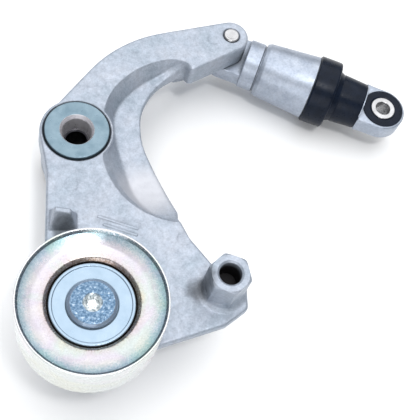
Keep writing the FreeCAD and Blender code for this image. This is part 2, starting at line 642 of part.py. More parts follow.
def rod_eye():
    half = EYE_T / 2
    plug_r = BOOT_NECK_R1 - 1.1
    plug = turned_damper([(73.0, 4.6), (73.0, plug_r), (BOOT_NECK_END, plug_r),
                          (BOOT_NECK_END, BOOT_NECK_R1 - 0.3), (BOOT_NECK_END + 0.5, BOOT_NECK_R1 - 0.6),
                          (BOOT_NECK_END + 0.5, 0), (84.0, 0), (84.0, 3.8), (83.0, 4.6)])
    foot = BOOT_NECK_END
    tip = (EYE_STATION + EYE_R, 0)
    lug = Part.Face(outline((foot, -EYE_R), [
        ("line", (EYE_STATION, -EYE_R)), ("arc", tip, (EYE_STATION, EYE_R)),
        ("line", (foot, EYE_R)), ("line", (foot, -EYE_R))], -half)).extrude(V(0, 0, EYE_T))
    rim = [e for e in edges_near(lug, lambda p: abs(abs(p.z) - half) < 1e-3)
           if e.CenterOfMass.x > foot + 0.01]
    lug = lug.makeFillet(0.8, rim)
    return on_damper(lug.fuse(plug).cut(disc(EYE_BUSH_R, -20, 20, EYE_STATION, 0)).removeSplitter())


def eye_bush():
    half = EYE_T / 2
    inner = EYE_SLEEVE_R + RUN
    body = turned([(inner, -half - 0.3), (inner + 1.0, -half - 0.6, 0.3), (12.2, -half - 0.6, 0.4),
                   (12.2, -half), (EYE_BUSH_R, -half), (EYE_BUSH_R, half), (12.2, half),
                   (12.2, half + 0.6, 0.4), (inner + 1.0, half + 0.6, 0.3), (inner, half + 0.3)],
                  EYE_STATION, 0)
    return on_damper(body)


def eye_sleeve():
    half = EYE_SLEEVE_LEN / 2
    body = turned([(EYE_BORE_R, -half), (EYE_SLEEVE_R, -half, 0.4), (EYE_SLEEVE_R, half, 0.4),
                   (EYE_BORE_R + 0.6, half), (EYE_BORE_R, half - 0.6)], EYE_STATION, 0)
    return on_damper(body)


# ---------------------------------------------------------------- write every piece
os.makedirs("parts", exist_ok=True)
PIECES = {
    "pivot_sleeve": pivot_sleeve(),
    "rear_thrust_ring": rear_thrust_ring(),
    "arm_casting": arm_casting(),
    "front_pivot_bush": front_pivot_bush(),
    "rear_pivot_bush": rear_pivot_bush(),
    "front_dust_seal": front_dust_seal(),
    "rear_dust_seal": rear_dust_seal(),
    "pulley_shell": pulley_shell(),
    "bearing_outer_race": bearing_outer_race(),
    "bearing_inner_race": bearing_inner_race(),
    "bearing_balls": bearing_balls(),
    "bearing_cage": bearing_cage(),
    "front_bearing_seal": bearing_seal(BEARING_BACK_Z + BEARING_T - 1.2),
    "rear_bearing_seal": bearing_seal(BEARING_BACK_Z + 0.4),
    "bearing_spacer": bearing_spacer(),
    "dust_cap": dust_cap(),
    "pulley_bolt": pulley_bolt(),
    "damper_pin": damper_pin(),
    "tongue_bush": tongue_bush(),
    "damper_housing": damper_housing(),
    "pressure_sleeve": pressure_sleeve(),
    "valve_seat": valve_seat(),
    "valve_ball": valve_ball(),
    "valve_spring": valve_spring(),
    "valve_retainer": valve_retainer(),
    "rod_guide": rod_guide(),
    "piston_rod": piston_rod(),
    "spring_seat": spring_seat(),
    "return_spring": return_spring(),
    "boot_collar": boot_collar(),
    "boot_fold": boot_fold(),
    "boot_neck": boot_neck(),
    "rod_eye": rod_eye(),
    "eye_bush": eye_bush(),
    "eye_sleeve": eye_sleeve(),
}
for name, shape in PIECES.items():
    save(name, shape)
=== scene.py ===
import bpy
import bmesh
import math
from mathutils import Matrix, Vector, noise


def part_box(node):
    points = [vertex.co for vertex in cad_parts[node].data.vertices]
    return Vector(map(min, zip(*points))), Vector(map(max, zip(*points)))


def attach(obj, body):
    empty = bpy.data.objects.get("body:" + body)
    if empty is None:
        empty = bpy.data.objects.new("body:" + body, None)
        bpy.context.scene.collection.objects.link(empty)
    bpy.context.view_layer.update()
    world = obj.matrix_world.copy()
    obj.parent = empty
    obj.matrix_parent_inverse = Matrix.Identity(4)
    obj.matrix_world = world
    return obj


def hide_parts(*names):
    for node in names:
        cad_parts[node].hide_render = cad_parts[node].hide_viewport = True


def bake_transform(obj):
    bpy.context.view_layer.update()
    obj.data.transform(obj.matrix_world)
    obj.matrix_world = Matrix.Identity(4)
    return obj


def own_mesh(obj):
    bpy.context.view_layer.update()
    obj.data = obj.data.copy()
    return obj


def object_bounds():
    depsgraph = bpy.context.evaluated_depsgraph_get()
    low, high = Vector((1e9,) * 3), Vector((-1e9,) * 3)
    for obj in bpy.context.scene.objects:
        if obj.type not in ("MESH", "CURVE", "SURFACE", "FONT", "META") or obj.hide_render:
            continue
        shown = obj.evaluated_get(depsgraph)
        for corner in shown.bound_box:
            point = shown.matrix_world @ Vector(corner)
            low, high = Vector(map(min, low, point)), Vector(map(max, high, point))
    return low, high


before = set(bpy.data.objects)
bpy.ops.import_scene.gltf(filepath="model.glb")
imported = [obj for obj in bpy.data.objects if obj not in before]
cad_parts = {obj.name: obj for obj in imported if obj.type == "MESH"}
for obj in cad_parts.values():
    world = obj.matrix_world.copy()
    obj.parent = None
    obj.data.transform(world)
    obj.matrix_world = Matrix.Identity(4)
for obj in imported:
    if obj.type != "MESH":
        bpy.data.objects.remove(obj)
CAD_BOX = [list(corner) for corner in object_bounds()]

# Belt tensioner idler. Each visible piece is drawn in millimetres about its own axis, put at its place in
# the frame and declared with the CAD nodes that it replaces. The other nodes keep their CAD shape.
MM = 0.001                                           # meshes are drawn in millimetres, the scene in metres
UP = Vector((0, 0, 1))


# ---------------------------------------------------------------- places read from the frame
def centre(node):
    """Middle of a node's box."""
    low, high = (Vector(c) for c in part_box(node))
    return (low + high) / 2


def top(node):
    """Highest point of a node, in metres."""
    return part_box(node)[1][2]


def bottom(node):
    """Lowest point of a node, in metres."""
    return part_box(node)[0][2]


PULLEY = centre("pulley_shell")
PIN = centre("damper_pin")
EYE = centre("eye_sleeve")
SEAL_RECESS = 1.4                                    # the front dust seal sits this far below the arm's face
ARM_FRONT = top("front_dust_seal") + SEAL_RECESS * MM
ALONG = Vector((EYE.x - PIN.x, EYE.y - PIN.y, 0)).normalized()
PIN_ON_AXIS = Vector((PIN.x, PIN.y, EYE.z))
EYE_STATION = (EYE - PIN_ON_AXIS).length / MM


def upright(place):
    """Local Z is the frame's own, on the vertical line through place."""
    return Matrix.Translation(Vector((place.x, place.y, 0)))


def on_damper():
    """Local Z runs along the damper from the pin, local X points up."""
    turn = Matrix((UP, ALONG.cross(UP), ALONG)).transposed().to_4x4()
    return Matrix.Translation(PIN_ON_AXIS) @ turn


def flat_on_damper():
    """Local X runs along the damper from the pin, local Z stays up."""
    return Matrix.Translation(PIN_ON_AXIS) @ Matrix.Rotation(math.atan2(ALONG.y, ALONG.x), 4, "Z")


# ---------------------------------------------------------------- mesh helpers, all in millimetres
STRAIGHT = math.radians(89.5)                        # a corner's half angle above which it is left as it is
CORNER_SHARE = 0.46                                  # the most of a side that the arc of one corner may take
SHORTEST_EDGE = 0.02
SAME_PLACE = 1e-5                                    # points closer than this become one
ON_AXIS = 1e-4                                       # a smaller radius is a point on the axis
SHARP_ANGLE = 38                                     # degrees


def arc(cx, cy, radius, start, end, steps):
    """Points of an arc between two angles in degrees."""
    points = []
    for k in range(steps + 1):
        angle = math.radians(start + (end - start) * k / steps)
        points.append((cx + radius * math.cos(angle), cy + radius * math.sin(angle)))
    return points


def rounded(corners, steps=5, support=0.15):
    """Polygon points for corners (a, b, radius): each corner is an arc with a support point each side."""
    points = []
    count = len(corners)
    for i in range(count):
        before = Vector(corners[i - 1][:2])
        here = Vector(corners[i][:2])
        after = Vector(corners[(i + 1) % count][:2])
        radius = corners[i][2] if len(corners[i]) > 2 else 0.0
        back = (before - here).normalized()
        ahead = (after - here).normalized()
        half = back.angle(ahead) / 2
        if radius <= 0 or half > STRAIGHT:
            points.append(here)
            continue
        room = CORNER_SHARE * min((before - here).length, (after - here).length)
        reach = min(radius / math.tan(half), room)
        radius = reach * math.tan(half)
        middle = here + (back + ahead).normalized() * (radius / math.sin(half))
        start = here + back * reach - middle
        end = here + ahead * reach - middle
        sweep = math.pi - 2 * half
        if start.x * end.y - start.y * end.x < 0:
            sweep = -sweep
        extra = min(support, room - reach)
        if extra > SHORTEST_EDGE:
            points.append(here + back * (reach + extra))
        for k in range(steps + 1):
            points.append(middle + Matrix.Rotation(sweep * k / steps, 2) @ start)
        if extra > SHORTEST_EDGE:
            points.append(here + ahead * (reach + extra))
    return points


def add_object(name, data):
    """Puts a mesh, a lamp or a camera into the scene."""
    thing = bpy.data.objects.new(name, data)
    bpy.context.scene.collection.objects.link(thing)
    return thing


def link_rings(bm, rings):
    """Quads between each ring of vertices and the next; the rings are equally long."""
    for ring, following in zip(rings, rings[1:]):
        for k in range(len(ring)):
            n = (k + 1) % len(ring)
            bm.faces.new((ring[k], ring[n], following[n], following[k]))


def finish_mesh(bm, name, place, material, body, nodes, sharp=SHARP_ANGLE):
    bmesh.ops.remove_doubles(bm, verts=bm.verts, dist=SAME_PLACE)
    bmesh.ops.recalc_face_normals(bm, faces=bm.faces)
    bm.transform(Matrix.Scale(MM, 4))
    bm.transform(place)
    mesh = bpy.data.meshes.new(name)
    bm.to_mesh(mesh)
    bm.free()
    return declare(mesh, name, material, body, nodes, sharp)


def declare(mesh, name, material, body, nodes, sharp=SHARP_ANGLE):
    """Smooth piece, creased above sharp degrees, on its body and in place of its CAD nodes."""
    mesh.shade_smooth()
    mesh.set_sharp_from_angle(angle=math.radians(sharp))
    piece = add_object(name, mesh)
    mesh.materials.append(material)
    if body is not None:
        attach(piece, body)
    if nodes:
        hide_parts(*nodes)
    return piece


def lathe(corners, segments=144, steps=5, support=0.15):
    """Closed solid of revolution about local Z; corners are (radius, z, corner radius)."""
    bm = bmesh.new()
    rings = []
    for point in rounded(corners, steps, support):
        if point.x < ON_AXIS:
            rings.append([bm.verts.new((0, 0, point.y))])
            continue
        rings.append([bm.verts.new((point.x * math.cos(2 * math.pi * k / segments),
                                    point.x * math.sin(2 * math.pi * k / segments), point.y))
                      for k in range(segments)])
    for ring, following in zip(rings, rings[1:] + rings[:1]):
        for k in range(segments):
            n = (k + 1) % segments
            corner = [ring[k % len(ring)], ring[n % len(ring)],
                      following[n % len(following)], following[k % len(following)]]
            face = list(dict.fromkeys(corner))
            if len(face) > 2:
                bm.faces.new(face)
    return bm


def slab(outline, low, high, bevel=0.5, steps=4):
    """Plate with the given closed outline and rounded edges, as stacked inset outlines."""
    bm = bmesh.new()
    flat = [Vector((p[0], p[1])) for p in outline]
    count = len(flat)
    layers = []
    for k in range(steps + 1):
        angle = math.pi / 2 * k / steps
        layers.append((bevel * (1 - math.sin(angle)), low + bevel * (1 - math.cos(angle))))
    layers += [(inset, high + low - z) for inset, z in reversed(layers)]
    rings = []
    for inset, z in layers:
        ring = []
        for i, p in enumerate(flat):
            tangent = (flat[(i + 1) % count] - flat[i - 1]).normalized()
            ring.append(bm.verts.new((p.x - tangent.y * inset, p.y + tangent.x * inset, z)))
        rings.append(ring)
    link_rings(bm, rings)
    bm.faces.new(list(reversed(rings[0])))
    bm.faces.new(rings[-1])
    return bm


def helix(start, length, mean_r, wire_r, turns, closed_turns=0.8, around=10, per_turn=40):
    """Round wire coil along local Z whose end turns close up."""
    bm = bmesh.new()
    total = turns + 2 * closed_turns
    samples = int(total * per_turn)
    rings = []
    height = 0.0
    closed_pitch = 2.1 * wire_r
    open_pitch = (length - 2 * closed_turns * closed_pitch) / turns
    for k in range(samples + 1):
        turn = total * k / samples
        pitch = closed_pitch if min(turn, total - turn) < closed_turns else open_pitch
        if k:
            height += pitch / per_turn
        angle = 2 * math.pi * turn
        out = Vector((math.cos(angle), math.sin(angle), 0))
        middle = out * mean_r + Vector((0, 0, start + height))
        rings.append([bm.verts.new(middle + out * (wire_r * math.cos(a)) + UP * (wire_r * math.sin(a)))
                      for a in (2 * math.pi * j / around for j in range(around))])
    link_rings(bm, rings)
    bm.faces.new(list(reversed(rings[0])))
    bm.faces.new(rings[-1])
    return bm


# ---------------------------------------------------------------- materials
HEX_X, HEX_Y = 70.3, -89.9                           # the wrench hexagon: middle, top, flats and hole
HEX_TOP = 63.0
HEX_FLATS = 19.0
HEX_TURN = -21.0                                     # degrees from local X to its first corner
HEX_HOLE = 5.7
SHADE_SPOTS = (((57.5, -90.5), 10.0), ((-7.5, -58.0), 9.5))      # painted shade: dark spots beside the hexagon and below the lug
PAINTED_HIGHLIGHT = (36.0, -32.0)                                # painted highlight: palest spot, on the channel's lower floor
PAINTED_HIGHLIGHT_REACH = 20.0
SUNK = 3.0                                           # how far below the arm's face the painted highlight begins
NOISE_SPAN = (0.3, 0.7)                              # where nearly all of a noise value lies
COLOUR_A, COLOUR_B, COLOUR_OUT = 6, 7, 2             # a colour mix node's sockets, by number


class Shader:
    """A Principled material with helpers that wire object-space procedural detail, in millimetres."""

    def __init__(self, name, roughness=0.4, metallic=0.0, **constants):
        self.material = bpy.data.materials.new(name)
        self.material.use_nodes = True
        self.tree = self.material.node_tree
        self.bsdf = self.tree.nodes["Principled BSDF"]
        self.place = self.new("ShaderNodeTexCoord").outputs["Object"]
        self.bsdf.inputs["Roughness"].default_value = roughness
        self.bsdf.inputs["Metallic"].default_value = metallic
        for socket, value in constants.items():
            self.bsdf.inputs[socket.replace("_", " ")].default_value = value
        self.normal = None

    def new(self, kind):
        return self.tree.nodes.new(kind)

    def link(self, source, target):
        self.tree.links.new(source, target)

    def feed(self, socket, value):
        """Sets a socket to a number or a colour, or links a node's output to it."""
        if isinstance(value, (int, float)):
            socket.default_value = value
        elif isinstance(value, tuple):
            socket.default_value = (*value, 1.0)
        else:
            self.link(value, socket)

    def vector(self, operation, source, constant=None):
        """Vector maths between a source and a constant."""
        node = self.new("ShaderNodeVectorMath")
        node.operation = operation
        self.link(source, node.inputs[0])
        if constant is not None:
            node.inputs[1].default_value = constant
        return node

    def noise(self, size, detail=3.0, roughness=0.55, distortion=0.0):
        """Fractal noise whose features are about size millimetres across."""
        node = self.new("ShaderNodeTexNoise")
        self.link(self.place, node.inputs["Vector"])
        node.inputs["Scale"].default_value = 1.0 / (size * MM)
        node.inputs["Detail"].default_value = detail
        node.inputs["Roughness"].default_value = roughness
        node.inputs["Distortion"].default_value = distortion
        return node.outputs["Fac"]

    def cells(self, size):
        """Distance from the middles of cells about size millimetres across."""
        node = self.new("ShaderNodeTexVoronoi")
        self.link(self.place, node.inputs["Vector"])
        node.inputs["Scale"].default_value = 1.0 / (size * MM)
        return node.outputs["Distance"]

    def math(self, operation, a, b):
        node = self.new("ShaderNodeMath")
        node.operation = operation
        self.feed(node.inputs[0], a)
        self.feed(node.inputs[1], b)
        return node.outputs["Value"]

    def ramp(self, source, stops):
        """Colour or value ramp; stops are (position, value or colour)."""
        node = self.new("ShaderNodeValToRGB")
        ramp = node.color_ramp
        while len(ramp.elements) < len(stops):
            ramp.elements.new(0.5)
        for element, (position, value) in zip(ramp.elements, stops):
            element.position = position
            colour = (value,) * 3 if isinstance(value, (int, float)) else value
            element.color = (*colour, 1.0)
        self.link(source, node.inputs["Fac"])
        return node.outputs["Color"]

    def bands(self, distance, reach, stops):
        """Ramp over a distance; stops are (millimetres, value or colour), none of them past reach."""
        return self.ramp(self.math("DIVIDE", distance, reach), [(at / reach, value) for at, value in stops])

    def mix(self, factor, a, b, blend="MIX"):
        """Colour a with colour b over it."""
        node = self.new("ShaderNodeMix")
        node.data_type = "RGBA"
        node.blend_type = blend
        self.feed(node.inputs[0], factor)
        self.feed(node.inputs[COLOUR_A], a)
        self.feed(node.inputs[COLOUR_B], b)
        return node.outputs[COLOUR_OUT]

    def times(self, tone, factor):
        """Colour darkened or tinted by a factor."""
        return self.mix(1.0, tone, factor, "MULTIPLY")

    def colour(self, source):
        self.feed(self.bsdf.inputs["Base Color"], source)

    def rough(self, source, low, high):
        """Roughness that follows a noise value between low and high."""
        node = self.new("ShaderNodeMapRange")
        self.link(source, node.inputs["Value"])
        node.inputs["From Min"].default_value = NOISE_SPAN[0]
        node.inputs["From Max"].default_value = NOISE_SPAN[1]
        node.inputs["To Min"].default_value = low
        node.inputs["To Max"].default_value = high
        self.link(node.outputs["Result"], self.bsdf.inputs["Roughness"])

    def bump(self, source, depth, strength=1.0):
        """Adds relief of about depth millimetres."""
        node = self.new("ShaderNodeBump")
        node.inputs["Strength"].default_value = strength
        node.inputs["Distance"].default_value = depth * MM
        self.link(source, node.inputs["Height"])
        if self.normal is not None:
            self.link(self.normal, node.inputs["Normal"])
        self.normal = node.outputs["Normal"]
        self.link(self.normal, self.bsdf.inputs["Normal"])

    def corner_shade(self, reach, darkest):
        """Painted shade: a factor from ambient occlusion that falls from 1 in the open to darkest in
        corners.
        """
        node = self.new("ShaderNodeAmbientOcclusion")
        node.samples = 8
        node.inputs["Distance"].default_value = reach * MM
        return self.ramp(node.outputs["AO"], [(0.25, darkest), (0.85, 1.0)])

    def radius_about(self, place):
        """Distance from the vertical line through place, which is in metres."""
        shift = self.vector("SUBTRACT", self.place, place)
        flat = self.vector("MULTIPLY", shift.outputs[0], (1, 1, 0))
        length = self.vector("LENGTH", flat.outputs[0])
        return self.math("DIVIDE", length.outputs["Value"], MM)

    def height(self):
        """Height above the frame's origin."""
        split = self.new("ShaderNodeSeparateXYZ")
        self.link(self.place, split.inputs[0])
        return self.math("DIVIDE", split.outputs["Z"], MM)

    def along(self):
        """Station along the damper."""
        dot = self.vector("DOT_PRODUCT", self.place, ALONG)
        offset = self.math("SUBTRACT", dot.outputs["Value"], PIN_ON_AXIS.dot(ALONG))
        return self.math("DIVIDE", offset, MM)

    def lines(self, coordinate, pitch, depth, wander=0.6):
        """Fine turning marks across a coordinate."""
        waver = self.math("MULTIPLY", self.noise(9.0, 2.0), wander)
        turns = self.math("MULTIPLY", self.math("ADD", coordinate, waver), 1.0 / pitch)
        combined = self.new("ShaderNodeCombineXYZ")
        self.link(turns, combined.inputs[0])
        node = self.new("ShaderNodeTexNoise")
        node.inputs["Scale"].default_value = 1.0
        node.inputs["Detail"].default_value = 4.0
        self.link(combined.outputs[0], node.inputs["Vector"])
        self.bump(node.outputs["Fac"], depth)
        return node.outputs["Fac"]


def die_cast():
    """Satin die-cast aluminium: cool grey, cloudy and speckled, with painted shade in corners, at two spots
    and in the hexagon's hole, and a painted highlight on the channel's lower floor.
    """
    m = Shader("die_cast_skin", roughness=0.5, metallic=0.55)
    tone = m.ramp(m.noise(16.0, 4.0, 0.6), [(0.3, (0.30, 0.35, 0.41)), (0.5, (0.355, 0.395, 0.46)),
                                            (0.72, (0.41, 0.44, 0.50))])
    tone = m.mix(0.40, tone, m.ramp(m.noise(3.2, 3.0, 0.6), [(0.32, 0.36), (0.68, 0.62)]), "OVERLAY")
    tone = m.mix(0.45, tone, m.ramp(m.noise(0.9, 3.0, 0.65), [(0.3, 0.34), (0.7, 0.64)]), "OVERLAY")
    # painted shade: ragged dark spots beside the hexagon and below the lug
    for (x, y), reach in SHADE_SPOTS:
        distance = m.math("DIVIDE", m.radius_about((x * MM, y * MM, 0)), reach)
        ragged = m.math("ADD", distance, m.math("MULTIPLY", m.noise(5.0, 3.0), 0.5))
        tone = m.times(tone, m.ramp(ragged, [(0.45, 0.30), (0.70, 0.5), (1.0, 1.0)]))
    # painted highlight: paler colour on the channel's lower floor, below the arm's face
    from_highlight = m.radius_about((PAINTED_HIGHLIGHT[0] * MM, PAINTED_HIGHLIGHT[1] * MM, 0))
    near = m.bands(from_highlight, PAINTED_HIGHLIGHT_REACH, [(0.4 * PAINTED_HIGHLIGHT_REACH, 1.0), (PAINTED_HIGHLIGHT_REACH, 0.0)])
    sunk = m.math("LESS_THAN", m.height(), ARM_FRONT / MM - SUNK)
    tone = m.mix(m.math("MULTIPLY", near, sunk), tone, (0.52, 0.53, 0.57))
    # painted shade: near-black colour down the hexagon's hole
    from_hexagon = m.radius_about((HEX_X * MM, HEX_Y * MM, 0))
    hole_shade = m.bands(from_hexagon, HEX_HOLE, [(0.97 * HEX_HOLE, 1.0), (HEX_HOLE, 0.0)])
    tone = m.mix(hole_shade, tone, (0.012, 0.011, 0.013))
    # painted shade in corners and creases
    m.colour(m.times(tone, m.corner_shade(4.0, 0.34)))
    m.rough(m.noise(3.0), 0.40, 0.58)
    m.bump(m.noise(0.7, 4.0, 0.65), 0.06, 0.7)
    m.bump(m.noise(5.0, 3.0), 0.12, 0.5)
    return m.material


def zinc_disc(name, place, dark, light):
    """Blue zinc plate on a turned steel face; gives the shader and its tone for a part to add to."""
    m = Shader(name, roughness=0.3, metallic=0.75)
    tone = m.ramp(m.noise(7.0, 4.0, 0.6, 0.4), [(0.3, dark), (0.7, light)])
    # painted shade in corners
    tone = m.times(tone, m.corner_shade(1.5, 0.35))
    m.colour(tone)
    m.rough(m.noise(2.0), 0.26, 0.42)
    m.lines(m.radius_about(place), 0.35, 0.006)
    m.bump(m.noise(0.5, 3.0), 0.012, 0.5)
    return m, tone


def pivot_zinc():
    """Blue zinc face, a bright reamed counterbore and painted shade, near black, down the bore below it."""
    place = centre("pivot_sleeve")
    m, tone = zinc_disc("pivot_zinc", place, (0.125, 0.19, 0.235), (0.20, 0.275, 0.325))
    bare = m.bands(m.radius_about(place), 20.0, [(9.04, 1.0), (9.24, 0.0)])
    tone = m.mix(bare, tone, (0.80, 0.79, 0.82))
    # painted shade: near black down the bore below the counterbore's step
    depth = m.math("SUBTRACT", top("pivot_sleeve") / MM, m.height())
    bore_shade = m.bands(depth, 20.0, [(11.2, 0.0), (12.0, 1.0)])
    m.colour(m.mix(bore_shade, tone, (0.006, 0.006, 0.010)))
    return m.material


def cap_zinc():
    """The dust cap's plain plate."""
    m, _ = zinc_disc("cap_zinc", PULLEY, (0.275, 0.365, 0.455), (0.325, 0.415, 0.505))
    return m.material


def bolt_zinc():
    """Darker, rougher plate on the bolt's crinkled face, and a bright socket."""
    m, tone = zinc_disc("bolt_zinc", PULLEY, (0.24, 0.31, 0.41), (0.33, 0.40, 0.50))
    crinkle = m.ramp(m.noise(1.3, 4.0, 0.7), [(0.42, (0.06, 0.12, 0.20)), (0.58, (0.17, 0.26, 0.37)),
                                              (0.70, (0.50, 0.57, 0.63))])
    radius = m.radius_about(PULLEY)
    tone = m.mix(m.bands(radius, 20.0, [(10.0, 1.0), (10.6, 0.0)]), tone, crinkle)
    bright = m.ramp(m.noise(1.0, 3.0, 0.7), [(0.38, (0.25, 0.31, 0.34)), (0.52, (0.80, 0.84, 0.85))])
    m.colour(m.mix(m.bands(radius, 20.0, [(4.0, 1.0), (4.7, 0.0)]), tone, bright))
    m.bump(m.noise(1.1, 3.0, 0.7), 0.12, 0.9)
    return m.material


def pulley_zinc():
    """Bright passivated zinc: yellow, green and pink film over spun steel, with painted reflections in rings
    on the web: dark brown where it rolls into the bore, teal where it meets the rim.
    """
    m = Shader("pulley_zinc_film", roughness=0.25, metallic=0.9)
    radius = m.radius_about(PULLEY)
    film = m.noise(24.0, 3.0, 0.5, 0.8)
    tone = m.ramp(film, [(0.30, (0.47, 0.47, 0.42)), (0.42, (0.43, 0.47, 0.46)),
                         (0.54, (0.46, 0.43, 0.48)), (0.68, (0.52, 0.50, 0.50))])
    speck = m.ramp(m.noise(0.8, 2.0, 0.6), [(0.38, 0.90), (0.62, 1.0)])
    tone = m.times(tone, speck)
    grain = m.math("MULTIPLY", m.math("SUBTRACT", m.noise(0.9, 3.0, 0.7), 0.5), 6.4)
    # painted reflections: rings of colour on the web, dark brown at the bore and teal towards the rim
    web = m.bands(m.math("ADD", radius, grain), 40.0, [
        (20.6, (0.40, 0.30, 0.22)), (22.6, (0.95, 0.91, 0.86)), (25.6, (1.0, 1.0, 1.0)),
        (28.8, (0.96, 0.97, 0.97)), (31.6, (0.55, 0.72, 0.76)), (33.4, (0.32, 0.48, 0.53)),
        (34.32, (0.90, 0.97, 0.97))])
    tone = m.times(tone, web)
    wall = m.bands(radius, 40.0, [(34.0, 0.0), (34.2, 0.55), (34.72, 0.55), (34.92, 1.0)])
    tone = m.mix(wall, tone, m.ramp(film, [(0.30, (0.73, 0.74, 0.67)), (0.50, (0.71, 0.74, 0.73)),
                                           (0.68, (0.76, 0.72, 0.74))]))
    # painted shade in corners
    m.colour(m.times(tone, m.corner_shade(1.2, 0.25)))
    m.rough(m.noise(4.0), 0.22, 0.34)
    m.lines(radius, 0.5, 0.004)
    m.bump(m.noise(1.2, 3.0), 0.006, 0.3)
    return m.material


def black_rubber(name, gloss=0.30):
    """Moulded black rubber, faintly uneven in tone and gloss."""
    m = Shader(name, roughness=gloss, Specular_IOR_Level=0.13)
    m.colour(m.ramp(m.noise(5.0, 4.0), [(0.3, (0.002, 0.005, 0.012)), (0.75, (0.006, 0.011, 0.024))]))
    m.rough(m.noise(1.5, 3.0), gloss - 0.06, gloss + 0.10)
    m.bump(m.noise(0.35, 3.0), 0.02, 0.6)
    m.bump(m.noise(3.5, 2.0), 0.06, 0.4)
    return m.material


def turned_aluminium():
    """Turned barrel with fine marks round it."""
    m = Shader("turned_aluminium", roughness=0.4, metallic=0.7)
    tone = m.ramp(m.noise(6.0, 4.0, 0.6), [(0.32, (0.29, 0.33, 0.40)), (0.68, (0.40, 0.44, 0.51))])
    tone = m.mix(0.5, tone, m.ramp(m.noise(1.2, 3.0, 0.65), [(0.3, 0.36), (0.7, 0.64)]), "OVERLAY")
    # painted shade in corners
    m.colour(m.times(tone, m.corner_shade(4.0, 0.3)))
    marks = m.lines(m.along(), 0.30, 0.010, 0.2)
    m.rough(marks, 0.34, 0.48)
    m.bump(m.noise(0.6, 3.0), 0.012, 0.5)
    return m.material


def steel(name, dark=0.5, light=0.7, low=0.2, high=0.36, tint=(1.0, 1.0, 1.02)):
    """Ground or drawn steel."""
    m = Shader(name, roughness=(low + high) / 2, metallic=1.0)
    m.colour(m.ramp(m.noise(4.0, 4.0), [(0.3, tuple(dark * t for t in tint)),
                                       (0.7, tuple(light * t for t in tint))]))
    m.rough(m.noise(1.5, 3.0), low, high)
    m.bump(m.noise(0.4, 3.0), 0.008, 0.5)
    return m.material


def polymer():
    """Bronze-filled bearing polymer."""
    m = Shader("bearing_polymer", roughness=0.5, metallic=0.2)
    m.colour(m.ramp(m.cells(0.5), [(0.1, (0.24, 0.18, 0.10)), (0.6, (0.12, 0.10, 0.08))]))
    m.bump(m.noise(0.4, 3.0), 0.015, 0.6)
    return m.material


def brass():
    """Stamped brass of the bearing's cage."""
    m = Shader("cage_brass", roughness=0.3, metallic=1.0)
    m.colour(m.ramp(m.noise(3.0, 3.0), [(0.3, (0.62, 0.42, 0.16)), (0.7, (0.78, 0.58, 0.28))]))
    m.bump(m.noise(0.5, 3.0), 0.01, 0.5)
    return m.material


# ---------------------------------------------------------------- arm
VOXEL = 0.5 * MM
EJECTOR_MARKS = ((8.0, 30.5), (79.0, 62.0), (-3.5, -32.0), (53.0, -62.5))
MARK_R = 3.9
MARK_DEPTH = 0.06
MARK_EDGE = 0.4
FACE_BAND = (-0.6, 0.3)                              # heights from the arm's face that count as its face
SKIN_WAVES = ((90.0, 0.05), (400.0, 0.02))           # waves per metre and their height
RIDGES = (((10.0, -50.2), (29.0, -57.0)), ((12.5, -54.6), (28.5, -60.4)))
RIDGE_R = 0.75
CHANNEL_FLOOR = -17.0                                # the channel lies between these heights from the face
CHANNEL_BRIM = -0.9
FACES_UP = 0.12                                      # least upward part of a normal in the channel
CHAMFER_SLOPE = 0.58                                 # rise of the hexagon's chamfer per millimetre inwards
LONGEST_SIDE = 0.7                                   # of a face along the hexagon's outline


def applied(piece, modifiers):
    """Adds modifiers (type, settings), bakes them in and returns the new mesh."""
    for kind, settings in modifiers:
        modifier = piece.modifiers.new(kind.lower(), kind)
        for key, value in settings.items():
            setattr(modifier, key, value)
    mesh = bpy.data.meshes.new_from_object(piece.evaluated_get(bpy.context.evaluated_depsgraph_get()))
    piece.modifiers.clear()
    return mesh


def arm_body(material):
    """The casting with every edge softened, a smoother channel and a faintly uneven skin."""
    source = add_object("arm_source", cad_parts["arm_casting"].data.copy())
    source.data = applied(source, [
        ("REMESH", {"mode": "VOXEL", "voxel_size": VOXEL, "use_smooth_shade": True}),
        ("SMOOTH", {"factor": 0.5, "iterations": 4}),
    ])
    channel = source.vertex_groups.new(name="channel")
    channel.add([vertex.index for vertex in source.data.vertices if vertex.normal.z > FACES_UP
                 and CHANNEL_FLOOR * MM < vertex.co.z - ARM_FRONT < CHANNEL_BRIM * MM], 1.0, "REPLACE")
    mesh = applied(source, [("SMOOTH", {"factor": 0.5, "iterations": 40, "vertex_group": "channel"})])
    bpy.data.objects.remove(source)
    normals = [vertex.normal.copy() for vertex in mesh.vertices]
    moved = []
    for vertex, normal in zip(mesh.vertices, normals):
        p = vertex.co
        lift = sum(noise.noise(p * waves) * height for waves, height in SKIN_WAVES)
        if FACE_BAND[0] * MM < p.z - ARM_FRONT < FACE_BAND[1] * MM:
            for x, y in EJECTOR_MARKS:
                distance = math.hypot(p.x / MM - x, p.y / MM - y)
                lift -= MARK_DEPTH * max(0.0, min(1.0, (MARK_R - distance) / MARK_EDGE))
        moved.extend(p + normal * (lift * MM))
    mesh.vertices.foreach_set("co", moved)
    mesh.update()
    mesh.materials.clear()
    declare(mesh, "arm_body", material, "arm", ["arm_casting"], 180)


def arm_ridges(material):
    """Two low ridges across the front face, above the pulley."""
    for index, (start, end) in enumerate(RIDGES):
        run = Vector(end) - Vector(start)
        outline = arc(0, 0, RIDGE_R, 90, 270, 16) + arc(run.length, 0, RIDGE_R, -90, 90, 16)
        bm = slab(outline, -0.8, 0.55, 0.45)
        place = Matrix.Translation((start[0] * MM, start[1] * MM, ARM_FRONT))
        turn = Matrix.Rotation(math.atan2(run.y, run.x), 4, "Z")
        finish_mesh(bm, f"arm_ridge_{index + 1}", place @ turn, material, "arm", [], 50)


